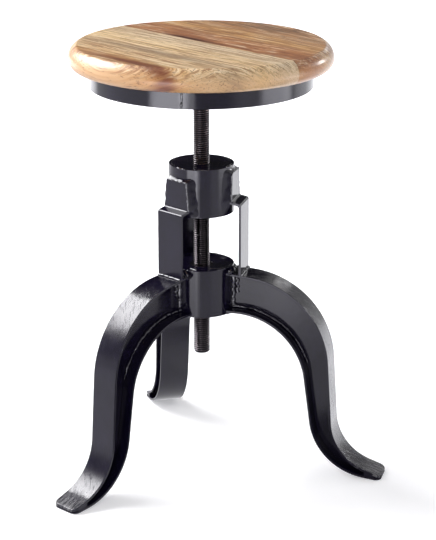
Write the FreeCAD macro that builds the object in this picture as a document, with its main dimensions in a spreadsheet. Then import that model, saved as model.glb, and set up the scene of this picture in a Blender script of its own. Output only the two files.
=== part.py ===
import FreeCAD, Part
import enum
import math
import os
import Sketcher

# A low screw stool: a round planked seat on a flat-bar ring, carried by a threaded spindle that turns
# in a nut. Three fabricated legs meet at a hub, and three straps hold a collar above it.
# Millimetres. The origin is on the spindle's axis at floor level, +Z up, seat at the photographed height.

SIZES = {
    # Seat: glued planks turned round, a tight round below and a fuller one above.
    "seat_diameter": 302,
    "seat_thickness": 27,
    "seat_bottom_height": 479.5,
    "seat_lower_round": 12,
    "seat_top_inset": 9.9,
    "seat_crease_round": 4,
    "grain_angle": 313,
    "board_width": 93,
    "middle_seam_offset": 4.8,
    "glue_line": 0.1,
    # Ring and cross bars under the seat.
    "ring_diameter": 256.5,
    "ring_bar_thickness": 3,
    "ring_bar_width": 20.8,
    "cross_bar_width": 25,
    "cross_bar_thickness": 4,
    "weld_gap": 0.1,
    # Wood screws through the cross bars.
    "screw_diameter": 4.4,
    "screw_length": 20,
    "screw_head_diameter": 9,
    "screw_head_height": 2.6,
    "screw_hole_clearance": 0.4,
    "screw_pilot_clearance": 0.1,
    "screw_inner_spacing": 60,
    "screw_end_margin": 14,
    "screw_short_bar_spacing": 80,
    # Spindle: coarse thread, plain head welded into a round flange.
    "spindle_diameter": 19,
    "thread_pitch": 2.5,
    "thread_depth": 1.5,
    "thread_crest_flat": 0.5,
    "spindle_chamfer": 1.5,
    "spindle_bottom_height": 136.2,
    "flange_diameter": 90,
    "flange_thickness": 4,
    "thread_clearance": 0.1,
    "guide_clearance": 0.3,
    "spindle_hole_clearance": 0.5,
    # Collar and hub, cut from one pipe.
    "pipe_diameter": 76.1,
    "pipe_wall": 3.6,
    "collar_bottom_height": 310,
    "collar_length": 57.5,
    "hub_bottom_height": 190,
    "hub_length": 57,
    "plate_thickness": 4,
    "cap_recess": 0.5,
    "hub_plate_recess": 2,
    "nut_across_flats": 27,
    "nut_height": 15.8,
    "bush_wall": 4,
    "bush_length": 45,
    # Straps: joggled flat bar with a tapered tongue on the collar. The right one is set higher than the others.
    "strap_thickness": 3,
    "strap_width": 38,
    "strap_standoff": 11,
    "strap_bend_rise": 7,
    "strap_right_raise": 7.5,
    "strap_joggle_angle": 76,
    "strap_bend_round": 2.5,
    "tongue_base_width": 36.5,
    "tongue_top_width": 31,
    "tongue_length": 32.4,
    # Legs: outer strip and inner strip, with a web between them.
    "leg_angle": 104.8,
    "leg_width": 36,
    "strip_thickness": 3,
    "web_thickness": 3,
    "toe_radius": 221.3,
    "toe_corner_round": 7,
    "toe_block_length": 20,
    "toe_block_inset": 0.5,
    "sole_length": 8,
    "leg_cope_depth": 8,
    "outer_drop": 5.5,
    "outer_top_angle": 6,
    "outer_top_length": 32,
    "outer_shin_angle": 86.4,
    "outer_ankle_radius": 60.6,
    "outer_toe_angle": 19.5,
    "outer_toe_length": 21.2,
    "inner_rise": 2.5,
    "inner_top_angle": 1,
    "inner_top_length": 15.6,
    "inner_shin_angle": 82.2,
    "inner_ankle_radius": 73.8,
    "inner_toe_angle": 7.2,
    "inner_toe_length": 14.8,
}

LEG_PLACES = ("back", "left", "right")
BOARD_PLACES = ("outer_front", "inner_front", "inner_back", "outer_back")
# A pan head's flat crown, as a share of the head.
HEAD_CROWN_SHARE = 0.6
# How far a trimming cut runs past the metal, and how close counts as touching when edges are looked up.
TRIM_MARGIN = 1
TOUCH = 0.01


class Axis(enum.IntEnum):
    """The sketcher's numbers for its own axes; its origin is the start of the first."""

    HORIZONTAL = -1
    VERTICAL = -2


class Spot(enum.IntEnum):
    """The sketcher's numbers for the points of an edge."""

    START = 1
    END = 2
    CENTRE = 3


class Size:
    """A driving or derived dimension: its value now, and the formula that follows the sheet."""

    def __init__(self, value, text):
        self.value = value
        self.text = text

    def __add__(self, other):
        other = as_size(other)
        return Size(self.value + other.value, f"({self.text} + {other.text})")

    def __sub__(self, other):
        other = as_size(other)
        return Size(self.value - other.value, f"({self.text} - {other.text})")

    def __mul__(self, other):
        other = as_size(other)
        return Size(self.value * other.value, f"({self.text} * {other.text})")

    def __truediv__(self, other):
        other = as_size(other)
        return Size(self.value / other.value, f"({self.text} / {other.text})")

    def __neg__(self):
        return Size(-self.value, f"(0 - {self.text})")


def as_size(number):
    if isinstance(number, Size):
        return number
    return Size(float(number), str(number))


def cosine(angle):
    return Size(math.cos(math.radians(angle.value)), f"cos({angle.text} * 1 deg)")


def sine(angle):
    return Size(math.sin(math.radians(angle.value)), f"sin({angle.text} * 1 deg)")


def tangent(angle):
    return Size(math.tan(math.radians(angle.value)), f"tan({angle.text} * 1 deg)")


def root(size):
    return Size(math.sqrt(size.value), f"sqrt({size.text})")


doc = FreeCAD.newDocument("screw_stool")
sheet = doc.addObject("Spreadsheet::Sheet", "sizes")
for row, (alias, number) in enumerate(SIZES.items(), start=1):
    sheet.set(f"A{row}", alias)
    sheet.set(f"B{row}", str(number))
    sheet.setAlias(f"B{row}", alias)
doc.recompute()


def size(alias):
    return Size(float(getattr(sheet, alias)), f"sizes.{alias}")


# Sketch and feature helpers.


def new_body(label):
    body = doc.addObject("PartDesign::Body", label)
    body.Label = label
    return body


def new_sketch(body, role):
    sketch = body.newObject("Sketcher::SketchObject", f"{body.Name}_sketch")
    plane = [item for item in body.Origin.OriginFeatures if item.Role == role][0]
    sketch.AttachmentSupport = [(plane, "")]
    sketch.MapMode = "FlatFace"
    return sketch


def hold(sketch, kind, references, amount):
    """One sketch dimension that follows the sheet."""
    index = sketch.addConstraint(Sketcher.Constraint(kind, *references, amount.value))
    sketch.setExpression(f"Constraints[{index}]", amount.text)


def hold_slope(sketch, edge, slope):
    """A line's downward slope, in degrees."""
    downward = -slope
    index = sketch.addConstraint(Sketcher.Constraint("Angle", edge, math.radians(downward.value)))
    sketch.setExpression(f"Constraints[{index}]", f"{downward.text} * 1 deg")


def hold_point(sketch, edge, end, x, y):
    if x.value == 0:
        sketch.addConstraint(Sketcher.Constraint("PointOnObject", edge, end, Axis.VERTICAL))
    else:
        hold(sketch, "DistanceX", (Axis.HORIZONTAL, Spot.START, edge, end), x)
    if y.value == 0:
        sketch.addConstraint(Sketcher.Constraint("PointOnObject", edge, end, Axis.HORIZONTAL))
    else:
        hold(sketch, "DistanceY", (Axis.HORIZONTAL, Spot.START, edge, end), y)


def point(x, y):
    return FreeCAD.Vector(x, y, 0)


def line_between(sketch, start, end):
    return sketch.addGeometry(Part.LineSegment(start, end), False)


def join(sketch, edge, next_edge):
    sketch.addConstraint(Sketcher.Constraint("Coincident", edge, Spot.END, next_edge, Spot.START))


def draw_polygon(sketch, corners):
    """A closed outline of straight lines through (x, y) sizes."""
    edges = []
    for corner, following in zip(corners, corners[1:] + corners[:1]):
        start = point(corner[0].value, corner[1].value)
        end = point(following[0].value, following[1].value)
        edges.append(line_between(sketch, start, end))
    for edge, next_edge in zip(edges, edges[1:] + edges[:1]):
        join(sketch, edge, next_edge)
    for edge, corner in zip(edges, corners):
        hold_point(sketch, edge, Spot.START, corner[0], corner[1])


def draw_circle(sketch, radius, x, y):
    centre = point(x.value, y.value)
    edge = sketch.addGeometry(Part.Circle(centre, FreeCAD.Vector(0, 0, 1), radius.value), False)
    hold(sketch, "Radius", (edge,), radius)
    hold_point(sketch, edge, Spot.CENTRE, x, y)


def pad(body, sketch, length, symmetric=False):
    feature = body.newObject("PartDesign::Pad", f"{body.Name}_pad")
    feature.Profile = sketch
    feature.setExpression("Length", length.text)
    if symmetric:
        feature.SideType = "Symmetric"
    body.Tip = feature
    doc.recompute()
    return feature


def cut_through(body, sketch):
    """Cut the sketch right through the body, both ways from its plane."""
    volume_before = body.Shape.Volume
    feature = body.newObject("PartDesign::Pocket", f"{body.Name}_cut")
    feature.Profile = sketch
    feature.Type = "ThroughAll"
    feature.SideType = "Symmetric"
    body.Tip = feature
    doc.recompute()
    if not body.Shape.Volume < volume_before:
        raise RuntimeError(f"{body.Label}: a cut removed nothing")
    return feature


def round_edges(body, base, wanted, radius):
    """Fillet the edges of a feature for which wanted(edge) holds."""
    names = [f"Edge{n}" for n, edge in enumerate(base.Shape.Edges, start=1) if wanted(edge)]
    feature = body.newObject("PartDesign::Fillet", f"{body.Name}_round")
    feature.Base = (base, names)
    feature.setExpression("Radius", radius.text)
    body.Tip = feature
    doc.recompute()
    return feature


def place(thing, x, y, z, angle):
    """Bind a placement: a move, and a turn about the vertical axis."""
    move = f"vector({x.text}; {y.text}; {z.text})"
    thing.setExpression("Placement", f"placement({move}; rotationz({angle.text}))")


def lift(thing, height):
    place(thing, ZERO, ZERO, height, ZERO)


def turn(thing, angle):
    place(thing, ZERO, ZERO, ZERO, angle)


parts = {}


def keep(thing):
    parts[thing.Label] = thing


ZERO = as_size(0)

# Heights and radii that several pieces share.
seat_radius = size("seat_diameter") / 2
seat_bottom = size("seat_bottom_height")
seat_top = seat_bottom + size("seat_thickness")
bar_bottom = seat_bottom - size("cross_bar_thickness")
flange_bottom = bar_bottom - size("flange_thickness")
ring_inside = size("ring_diameter") / 2 - size("ring_bar_thickness")
pipe_radius = size("pipe_diameter") / 2
pipe_inside = pipe_radius - size("pipe_wall")
spindle_radius = size("spindle_diameter") / 2
collar_top = size("collar_bottom_height") + size("collar_length")
hub_top = size("hub_bottom_height") + size("hub_length")
weld_gap = size("weld_gap")
plate_thickness = size("plate_thickness")
board_angle = size("grain_angle")


# Wood screws: pan heads under the bars, shanks up into pilot holes in the planks.


def revolve_outline(corners):
    """A solid of revolution about the vertical axis from (radius, height) numbers."""
    wire = Part.makePolygon([FreeCAD.Vector(radius, 0, height) for radius, height in corners + corners[:1]])
    turned = Part.Face(wire).revolve(FreeCAD.Vector(0, 0, 0), FreeCAD.Vector(0, 0, 1), 360)
    return turned if turned.Volume > 0 else turned.reversed()


inner_screw = size("screw_inner_spacing")
bar_half = size("cross_bar_width") / 2
bar_reach = root(ring_inside * ring_inside - bar_half * bar_half) - weld_gap
outer_screw = bar_reach - size("screw_end_margin")
short_bar_screw = size("screw_short_bar_spacing")
long_bar_screws = [-outer_screw, -inner_screw, inner_screw, outer_screw]
long_bar_angle = board_angle - 270
screw_spots = [(spot.value, long_bar_angle.value) for spot in long_bar_screws]
screw_spots += [(short_bar_screw.value, board_angle.value), (-short_bar_screw.value, board_angle.value)]


def at_screw_spots(label, outline):
    """One turned shape repeated at every screw."""
    shape = revolve_outline(outline)
    copies = []
    for distance, angle in screw_spots:
        direction = FreeCAD.Vector(math.cos(math.radians(angle)), math.sin(math.radians(angle)), 0)
        shape_copy = shape.copy()
        shape_copy.translate(direction * distance)
        copies.append(shape_copy)
    group = doc.addObject("Part::Feature", label)
    group.Shape = Part.makeCompound(copies)
    return group


shank_radius = size("screw_diameter").value / 2
head_radius = size("screw_head_diameter").value / 2
head_height = size("screw_head_height").value
head_crown_radius = head_radius * HEAD_CROWN_SHARE
head_base = bar_bottom.value
tip_height = head_base + size("screw_length").value
point_start = tip_height - shank_radius * 2
keep(at_screw_spots("seat_screws", [
    (0, head_base - head_height),
    (head_crown_radius, head_base - head_height),
    (head_radius, head_base - head_height / 2),
    (head_radius, head_base),
    (shank_radius, head_base),
    (shank_radius, point_start),
    (0, tip_height),
]))
pilot_clearance = size("screw_pilot_clearance").value
screw_pilots = at_screw_spots("screw_pilots", [
    (0, head_base),
    (shank_radius + pilot_clearance, head_base),
    (shank_radius + pilot_clearance, point_start),
    (0, tip_height + pilot_clearance),
])


# Seat: one turned blank, divided along the glue lines into planks.

seat_blank = new_body("seat_blank")
seat_sketch = new_sketch(seat_blank, "XZ_Plane")
lower_round = size("seat_lower_round")
top_inset = size("seat_top_inset")
widest_height = seat_bottom + lower_round
upper_rise = seat_top - widest_height
upper_round = (top_inset * top_inset + upper_rise * upper_rise) / (top_inset * 2)
seat_corners = [
    (ZERO, seat_bottom),
    (seat_radius - lower_round, seat_bottom),
    (seat_radius, widest_height),
    (seat_radius - top_inset, seat_top),
    (ZERO, seat_top),
]
seat_points = [point(corner[0].value, corner[1].value) for corner in seat_corners]


def arc_through(start, end, centre):
    """A counter-clockwise arc between two points about a centre."""
    radius = (start - centre).Length
    angles = [math.atan2(spot.y - centre.y, spot.x - centre.x) for spot in (start, end)]
    circle = Part.Circle(centre, FreeCAD.Vector(0, 0, 1), radius)
    return Part.ArcOfCircle(circle, angles[0], angles[1])


lower_centre = seat_points[1] + point(0, lower_round.value)
upper_centre = seat_points[2] - point(upper_round.value, 0)
seat_edges = [
    line_between(seat_sketch, seat_points[0], seat_points[1]),
    seat_sketch.addGeometry(arc_through(seat_points[1], seat_points[2], lower_centre), False),
    seat_sketch.addGeometry(arc_through(seat_points[2], seat_points[3], upper_centre), False),
    line_between(seat_sketch, seat_points[3], seat_points[4]),
    line_between(seat_sketch, seat_points[4], seat_points[0]),
]
for edge, next_edge in zip(seat_edges, seat_edges[1:] + seat_edges[:1]):
    join(seat_sketch, edge, next_edge)
for edge, corner in zip(seat_edges, seat_corners):
    hold_point(seat_sketch, edge, Spot.START, corner[0], corner[1])
hold(seat_sketch, "Radius", (seat_edges[1],), lower_round)
hold(seat_sketch, "Radius", (seat_edges[2],), upper_round)
seat_turning = seat_blank.newObject("PartDesign::Revolution", "seat_turning")
seat_turning.Profile = seat_sketch
seat_turning.ReferenceAxis = (seat_sketch, ["V_Axis"])
seat_turning.Angle = 360
seat_blank.Tip = seat_turning
doc.recompute()


def on_top_crease(edge):
    """The circular edge where the rim's upper round meets the flat top."""
    box = edge.BoundBox
    at_top = abs(box.ZMin - seat_top.value) < TOUCH and box.ZLength < TOUCH
    return at_top and abs(box.XMax - (seat_radius - top_inset).value) < TOUCH


round_edges(seat_blank, seat_turning, on_top_crease, size("seat_crease_round"))

middle_seam = size("middle_seam_offset")
seams = [
    -seat_radius,
    middle_seam - size("board_width"),
    middle_seam,
    middle_seam + size("board_width"),
    seat_radius,
]
for board_place, near_seam, far_seam in zip(BOARD_PLACES, seams[:-1], seams[1:]):
    plank = doc.addObject("Part::Box", f"plank_{board_place}")
    near_side = near_seam + size("glue_line") / 2
    far_side = far_seam - size("glue_line") / 2
    plank.setExpression("Length", size("seat_diameter").text)
    plank.setExpression("Width", (far_side - near_side).text)
    plank.setExpression("Height", size("seat_thickness").text)
    plank_x = -(seat_radius * cosine(board_angle)) - near_side * sine(board_angle)
    plank_y = -(seat_radius * sine(board_angle)) + near_side * cosine(board_angle)
    place(plank, plank_x, plank_y, seat_bottom, board_angle)
    turned_plank = doc.addObject("Part::Common", f"turned_{board_place}")
    turned_plank.Base = seat_blank
    turned_plank.Tool = plank
    board = doc.addObject("Part::Cut", f"seat_board_{board_place}")
    board.Base = turned_plank
    board.Tool = screw_pilots
    keep(board)


# Ring: a flat bar rolled on edge.

seat_ring = new_body("seat_ring")
ring_sketch = new_sketch(seat_ring, "XY_Plane")
draw_circle(ring_sketch, size("ring_diameter") / 2, ZERO, ZERO)
draw_circle(ring_sketch, ring_inside, ZERO, ZERO)
pad(seat_ring, ring_sketch, size("ring_bar_width"))
lift(seat_ring, seat_bottom - size("ring_bar_width"))
keep(seat_ring)


# Cross bars: one long bar across the planks, and two short ones along them.

screw_hole = size("screw_diameter") / 2 + size("screw_hole_clearance") / 2


def make_cross_bar(label, near_end, hole_places, angle):
    body = new_body(label)
    sketch = new_sketch(body, "XY_Plane")
    draw_polygon(sketch, [
        (near_end, -bar_half),
        (bar_reach, -bar_half),
        (bar_reach, bar_half),
        (near_end, bar_half),
    ])
    for hole_place in hole_places:
        draw_circle(sketch, screw_hole, hole_place, ZERO)
    pad(body, sketch, size("cross_bar_thickness"))
    place(body, ZERO, ZERO, bar_bottom, angle)
    keep(body)


short_bar_start = bar_half + weld_gap
make_cross_bar("cross_bar_long", -bar_reach, long_bar_screws, long_bar_angle)
make_cross_bar("cross_bar_short_front", short_bar_start, [short_bar_screw], board_angle)
make_cross_bar("cross_bar_short_back", short_bar_start, [short_bar_screw], board_angle - 180)


# Spindle: a bar with its thread drawn as rings of the true pitch and depth, and a plain head.

crest = spindle_radius.value
thread_root = crest - size("thread_depth").value
pitch = size("thread_pitch").value
crest_half = size("thread_crest_flat").value / 2
root_half = crest_half
chamfer = size("spindle_chamfer").value
spindle_low = size("spindle_bottom_height").value
thread_start = spindle_low + chamfer
thread_count = int((flange_bottom.value - thread_start) / pitch)
spindle_outline = [(0, spindle_low), (crest - chamfer, spindle_low), (crest, thread_start)]
for turn_number in range(thread_count):
    groove = thread_start + (turn_number + 0.5) * pitch
    spindle_outline += [
        (crest, groove - pitch / 2 + crest_half),
        (thread_root, groove - root_half),
        (thread_root, groove + root_half),
        (crest, groove + pitch / 2 - crest_half),
    ]
spindle_outline += [(crest, bar_bottom.value), (0, bar_bottom.value)]
spindle = doc.addObject("Part::Feature", "spindle")
spindle.Shape = revolve_outline(spindle_outline)
keep(spindle)


# Round pieces: discs, pipes and bushes about the spindle's axis.


def make_ring(label, outside, inside, length, bottom):
    body = new_body(label)
    sketch = new_sketch(body, "XY_Plane")
    draw_circle(sketch, outside, ZERO, ZERO)
    draw_circle(sketch, inside, ZERO, ZERO)
    pad(body, sketch, length)
    lift(body, bottom)
    keep(body)


spindle_hole = spindle_radius + size("spindle_hole_clearance")
cap_top = collar_top - size("cap_recess")
cap_bottom = cap_top - plate_thickness
hub_plate_top = hub_top - size("hub_plate_recess")
bush_inside = spindle_radius + size("guide_clearance")
bush_outside = bush_inside + size("bush_wall")
plug_radius = pipe_inside - weld_gap
make_ring("spindle_flange", size("flange_diameter") / 2, spindle_radius + weld_gap,
          size("flange_thickness"), flange_bottom)
make_ring("upper_collar", pipe_radius, pipe_inside, size("collar_length"), size("collar_bottom_height"))
make_ring("collar_cap", plug_radius, spindle_hole, plate_thickness, cap_bottom)
make_ring("lower_hub", pipe_radius, pipe_inside, size("hub_length"), size("hub_bottom_height"))
make_ring("hub_top_plate", plug_radius, bush_outside + weld_gap, plate_thickness,
          hub_plate_top - plate_thickness)
make_ring("guide_bush", bush_outside, bush_inside, size("bush_length"),
          hub_plate_top - size("bush_length"))

# Nut: a hexagon under the collar cap, bored clear over the thread.

spindle_nut = new_body("spindle_nut")
nut_sketch = new_sketch(spindle_nut, "XY_Plane")
nut_corner = size("nut_across_flats") / root(as_size(3))
nut_half_flat = size("nut_across_flats") / 2
draw_polygon(nut_sketch, [
    (nut_corner, ZERO),
    (nut_corner / 2, nut_half_flat),
    (-(nut_corner / 2), nut_half_flat),
    (-nut_corner, ZERO),
    (-(nut_corner / 2), -nut_half_flat),
    (nut_corner / 2, -nut_half_flat),
])
draw_circle(nut_sketch, spindle_radius + size("thread_clearance"), ZERO, ZERO)
pad(spindle_nut, nut_sketch, size("nut_height"))
lift(spindle_nut, cap_bottom - size("nut_height"))
keep(spindle_nut)


# Legs: each face of a strip is a straight, a shoulder bend, a shin, an ankle bend and a toe.

strip_thickness = size("strip_thickness")
toe_radius = size("toe_radius")
leg_start = pipe_radius - size("leg_cope_depth")
sole_start = toe_radius - size("sole_length")
outer_start_height = hub_top - size("outer_drop")
inner_start_height = size("hub_bottom_height") + size("inner_rise")


def rise_across(thickness, slope):
    """Height of a sloping bar's thickness, measured upright."""
    return thickness / cosine(slope)


inner_toe_top = (rise_across(strip_thickness, size("inner_toe_angle"))
                 - size("sole_length") * tangent(size("inner_toe_angle")))
outer_toe_top = inner_toe_top + weld_gap + rise_across(strip_thickness, size("outer_toe_angle"))


class Track:
    """The sizes of one strip's outermost face, from the hub to the toe."""

    def __init__(self, kind, start_height, end_radius, end_height):
        self.start_height = start_height
        self.end_radius = end_radius
        self.end_height = end_height
        self.top_slope = size(f"{kind}_top_angle")
        self.top_length = size(f"{kind}_top_length")
        self.shin_slope = size(f"{kind}_shin_angle")
        self.ankle = size(f"{kind}_ankle_radius")
        self.toe_slope = size(f"{kind}_toe_angle")
        self.toe_length = size(f"{kind}_toe_length")
        self.shoulder = self.shoulder_radius()

    def shoulder_radius(self):
        """The bend that leads from the top straight to the shin so that the toe ends in its place."""
        top, shin, toe = (self.top_slope, self.shin_slope, self.toe_slope)
        reach = self.end_radius - leg_start - self.top_length * cosine(top) - self.toe_length * cosine(toe)
        fall = self.start_height - self.end_height - self.top_length * sine(top) - self.toe_length * sine(toe)
        reach = reach - self.ankle * (sine(shin) - sine(toe))
        fall = fall - self.ankle * (cosine(toe) - cosine(shin))
        return (reach * sine(shin) - fall * cosine(shin)) / (as_size(1) - cosine(shin - top))


outer_track = Track("outer", outer_start_height, toe_radius, outer_toe_top)
inner_track = Track("inner", inner_start_height, sole_start, ZERO)


def along(slope):
    """Unit step outward along a downward slope, in degrees."""
    return point(math.cos(math.radians(slope)), -math.sin(math.radians(slope)))


def away(slope):
    """Unit step outward from the face of a downward slope."""
    return point(math.sin(math.radians(slope)), math.cos(math.radians(slope)))


def track_spots(track, offset, end_radius):
    """Joints of a face moved outward by an offset: (line ends and bend centres)."""
    top, shin, toe = (track.top_slope.value, track.shin_slope.value, track.toe_slope.value)
    shoulder, ankle = (track.shoulder.value, track.ankle.value)
    start = point(leg_start.value, track.start_height.value)
    first_bend = start + along(top) * track.top_length.value
    shoulder_centre = first_bend - away(top) * shoulder
    finish = point(track.end_radius.value, track.end_height.value)
    # The shin and the toe close the gap from the shoulder to the finish, with the ankle bend between.
    gap = finish - (shoulder_centre + away(shin) * shoulder) - (away(shin) - away(toe)) * ankle
    turn_sine = math.sin(math.radians(shin - toe))
    shin_length = (-gap.y * math.cos(math.radians(toe)) - gap.x * math.sin(math.radians(toe))) / turn_sine
    if shin_length <= 0:
        raise RuntimeError("the leg's bends leave no straight shin")
    shin_start = shoulder_centre + away(shin) * shoulder
    ankle_centre = shin_start + along(shin) * shin_length + away(shin) * ankle
    moved_start = start + away(top) * offset
    moved_start = moved_start + along(top) * ((start.x - moved_start.x) / along(top).x)
    toe_start = ankle_centre - away(toe) * (ankle - offset)
    toe_end = toe_start + along(toe) * ((end_radius.value - toe_start.x) / along(toe).x)
    return {
        "start": moved_start,
        "shoulder_start": first_bend + away(top) * offset,
        "shoulder_centre": shoulder_centre,
        "shin_start": shin_start + away(shin) * offset,
        "shin_end": ankle_centre - away(shin) * (ankle - offset),
        "ankle_centre": ankle_centre,
        "toe_start": toe_start,
        "toe_end": toe_end,
    }


def draw_face(sketch, track, offset, end_radius, construction):
    """Five tangent edges of one face; returns their numbers from hub to toe."""
    spots = track_spots(track, offset, end_radius)
    shoulder = arc_through(spots["shin_start"], spots["shoulder_start"], spots["shoulder_centre"])
    ankle = arc_through(spots["shin_end"], spots["toe_start"], spots["ankle_centre"])
    top = sketch.addGeometry(Part.LineSegment(spots["start"], spots["shoulder_start"]), construction)
    bend = sketch.addGeometry(shoulder, construction)
    shin = sketch.addGeometry(Part.LineSegment(spots["shin_start"], spots["shin_end"]), construction)
    heel = sketch.addGeometry(ankle, construction)
    toe = sketch.addGeometry(Part.LineSegment(spots["toe_start"], spots["toe_end"]), construction)
    for first, first_end, second, second_end in (
        (top, Spot.END, bend, Spot.END),
        (bend, Spot.START, shin, Spot.START),
        (shin, Spot.END, heel, Spot.START),
        (heel, Spot.END, toe, Spot.START),
    ):
        sketch.addConstraint(Sketcher.Constraint("Tangent", first, first_end, second, second_end))
    return top, bend, shin, heel, toe


def draw_track(sketch, track, construction):
    """The outermost face itself, held by its slopes, radii and end points."""
    edges = draw_face(sketch, track, 0, track.end_radius, construction)
    top, bend, shin, heel, toe = edges
    hold_point(sketch, top, Spot.START, leg_start, track.start_height)
    hold(sketch, "Distance", (top,), track.top_length)
    for edge, slope in ((top, track.top_slope), (shin, track.shin_slope), (toe, track.toe_slope)):
        hold_slope(sketch, edge, slope)
    hold(sketch, "Radius", (bend,), track.shoulder)
    hold(sketch, "Radius", (heel,), track.ankle)
    hold_point(sketch, toe, Spot.END, track.end_radius, track.end_height)
    return edges


def draw_offset_track(sketch, track, track_edges, offset, end_radius):
    """A face parallel to the track, moved outward by an offset (inward where negative)."""
    edges = draw_face(sketch, track, offset.value, end_radius, False)
    top, bend, shin, heel, toe = edges
    for edge, track_edge in ((top, track_edges[0]), (toe, track_edges[4])):
        sketch.addConstraint(Sketcher.Constraint("Parallel", edge, track_edge))
    for edge, track_edge in ((bend, track_edges[1]), (heel, track_edges[3])):
        sketch.addConstraint(Sketcher.Constraint("Coincident", edge, Spot.CENTRE, track_edge, Spot.CENTRE))
    hold(sketch, "Radius", (bend,), track.shoulder + offset)
    hold(sketch, "Radius", (heel,), track.ankle - offset)
    hold(sketch, "DistanceX", (Axis.HORIZONTAL, Spot.START, top, Spot.START), leg_start)
    hold(sketch, "DistanceX", (Axis.HORIZONTAL, Spot.START, toe, Spot.END), end_radius)
    return edges


def end_point(sketch, edge, end):
    line = sketch.Geometry[edge]
    return line.StartPoint if end == Spot.START else line.EndPoint


def close_between(sketch, first, first_end, second, second_end):
    """A straight closing edge from one loose end to another."""
    start = end_point(sketch, first, first_end)
    edge = line_between(sketch, start, end_point(sketch, second, second_end))
    sketch.addConstraint(Sketcher.Constraint("Coincident", edge, Spot.START, first, first_end))
    sketch.addConstraint(Sketcher.Constraint("Coincident", edge, Spot.END, second, second_end))


def cope_to_hub(body):
    """Hollow the inner end to the hub's round wall."""
    sketch = new_sketch(body, "XY_Plane")
    draw_circle(sketch, pipe_radius + weld_gap, ZERO, ZERO)
    return cut_through(body, sketch)


def on_toe_corner(edge):
    """The two upright edges at the very end of a strip."""
    box = edge.BoundBox
    at_tip = abs(box.XMin - toe_radius.value) < TOUCH and box.XLength < TOUCH
    return at_tip and box.YLength < TOUCH and box.ZLength > TRIM_MARGIN


def finish_strip(body, sketch):
    pad(body, sketch, size("leg_width"), symmetric=True)
    coped = cope_to_hub(body)
    round_edges(body, coped, on_toe_corner, size("toe_corner_round"))


def make_outer_strip(label):
    body = new_body(label)
    sketch = new_sketch(body, "XZ_Plane")
    face = draw_track(sketch, outer_track, False)
    back = draw_offset_track(sketch, outer_track, face, -strip_thickness, toe_radius)
    close_between(sketch, face[0], Spot.START, back[0], Spot.START)
    close_between(sketch, face[4], Spot.END, back[4], Spot.END)
    finish_strip(body, sketch)
    return body


def make_inner_strip(label):
    """The lower strip, ground to a short flat sole at the toe."""
    body = new_body(label)
    sketch = new_sketch(body, "XZ_Plane")
    face = draw_track(sketch, inner_track, False)
    back = draw_offset_track(sketch, inner_track, face, strip_thickness, toe_radius)
    close_between(sketch, face[0], Spot.START, back[0], Spot.START)
    sole_end = point(toe_radius.value, 0)
    sole = line_between(sketch, end_point(sketch, face[4], Spot.END), sole_end)
    tip = line_between(sketch, sole_end, end_point(sketch, back[4], Spot.END))
    join(sketch, face[4], sole)
    join(sketch, sole, tip)
    sketch.addConstraint(Sketcher.Constraint("Coincident", tip, Spot.END, back[4], Spot.END))
    hold_point(sketch, sole, Spot.END, toe_radius, ZERO)
    finish_strip(body, sketch)
    return body


web_end = toe_radius - size("toe_corner_round")


def make_web(label):
    """The plate between the strips, with a wide block filling the toe up to its rounded corners."""
    body = new_body(label)
    sketch = new_sketch(body, "XZ_Plane")
    outer_edges = draw_track(sketch, outer_track, True)
    inner_edges = draw_track(sketch, inner_track, True)
    inset = strip_thickness + weld_gap
    upper = draw_offset_track(sketch, outer_track, outer_edges, -inset, web_end)
    lower = draw_offset_track(sketch, inner_track, inner_edges, inset, web_end)
    close_between(sketch, upper[0], Spot.START, lower[0], Spot.START)
    close_between(sketch, upper[4], Spot.END, lower[4], Spot.END)
    pad(body, sketch, size("leg_width") - size("toe_block_inset") * 2, symmetric=True)
    clearing = new_sketch(body, "XZ_Plane")
    block_start = toe_radius - size("toe_block_length")
    draw_polygon(clearing, [(ZERO, ZERO), (block_start, ZERO), (block_start, hub_top), (ZERO, hub_top)])
    cut_through(body, clearing)
    pad(body, sketch, size("web_thickness"), symmetric=True)
    cope_to_hub(body)
    return body


# Straps: upright on the leg tops, joggled in to lie on the collar.

strap_thickness = size("strap_thickness")
tongue_back = pipe_radius + weld_gap
tongue_face = tongue_back + strap_thickness
strap_back = pipe_radius + size("strap_standoff")
strap_face = strap_back + strap_thickness
low_bend_height = size("collar_bottom_height") + size("strap_bend_rise")
bend_heights = {
    "back": low_bend_height,
    "left": low_bend_height,
    "right": low_bend_height + size("strap_right_raise"),
}
joggle_rise = (strap_face - tongue_face) / tangent(size("strap_joggle_angle"))
bend_shift = strap_thickness * tangent(size("strap_joggle_angle") / 2)


def leg_top_height(radius):
    """Height of the leg's upper face close to the hub."""
    return outer_start_height - (radius - leg_start) * tangent(size("outer_top_angle"))


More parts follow.
